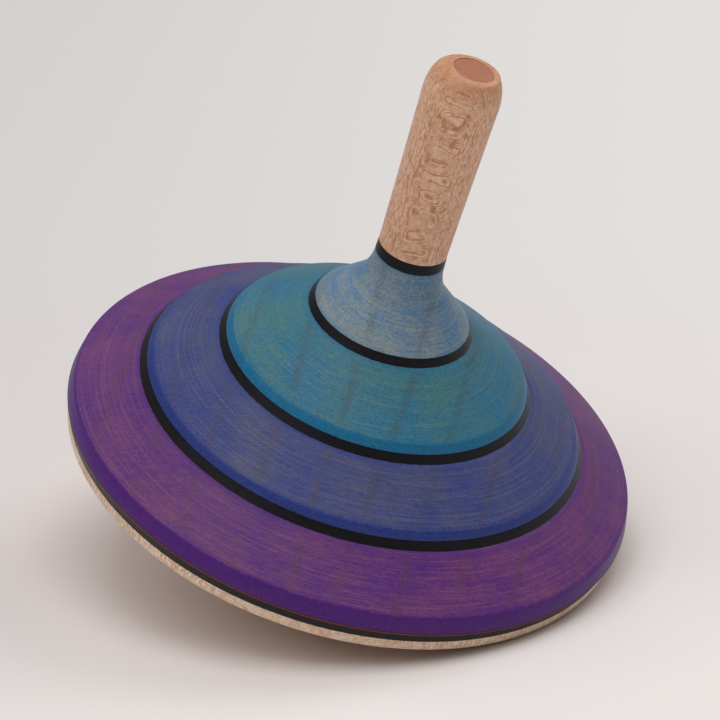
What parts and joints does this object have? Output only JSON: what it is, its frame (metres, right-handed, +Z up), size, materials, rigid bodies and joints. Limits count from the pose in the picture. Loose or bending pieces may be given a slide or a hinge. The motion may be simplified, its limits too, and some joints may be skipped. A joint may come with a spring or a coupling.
{
  "type": "spinning top",
  "caption": "Finger-twirled wooden spinning top with a stepped, stained disc, dark rings in the steps and a turned natural grip.",
  "frame": {"origin": "middle of the bounding box, on the surface that the top lies on", "axes": "+Z up from the surface, +X the way the stopped top leans, so that the lowest point of its rim is on the +X side; the spindle's axis lies in the XZ plane"},
  "size_m": [0.0568, 0.06, 0.0564],
  "materials": {
    "natural_wood": "fine-sanded natural wood, light oil, satin",
    "end_grain": "natural dowel, darker on its end grain, satin",
    "black_stain": "black stained wood, satin",
    "violet_stain": "transparent violet stain over visible grain, satin",
    "blue_stain": "transparent blue stain over visible grain, satin",
    "teal_stain": "transparent teal stain over visible grain, satin",
    "light_blue_stain": "thin light blue stain with wood showing through, satin"
  },
  "bodies": {
    "root": {"spindle": "end_grain", "base_disc": "natural_wood", "rim_ring": "black_stain", "violet_tier": "violet_stain", "violet_blue_ring": "black_stain", "blue_tier": "blue_stain", "blue_teal_ring": "black_stain", "teal_tier": "teal_stain", "teal_hub_ring": "black_stain", "hub": "light_blue_stain", "collar_ring": "black_stain", "handle": "natural_wood"}
  },
  "joints": []
}
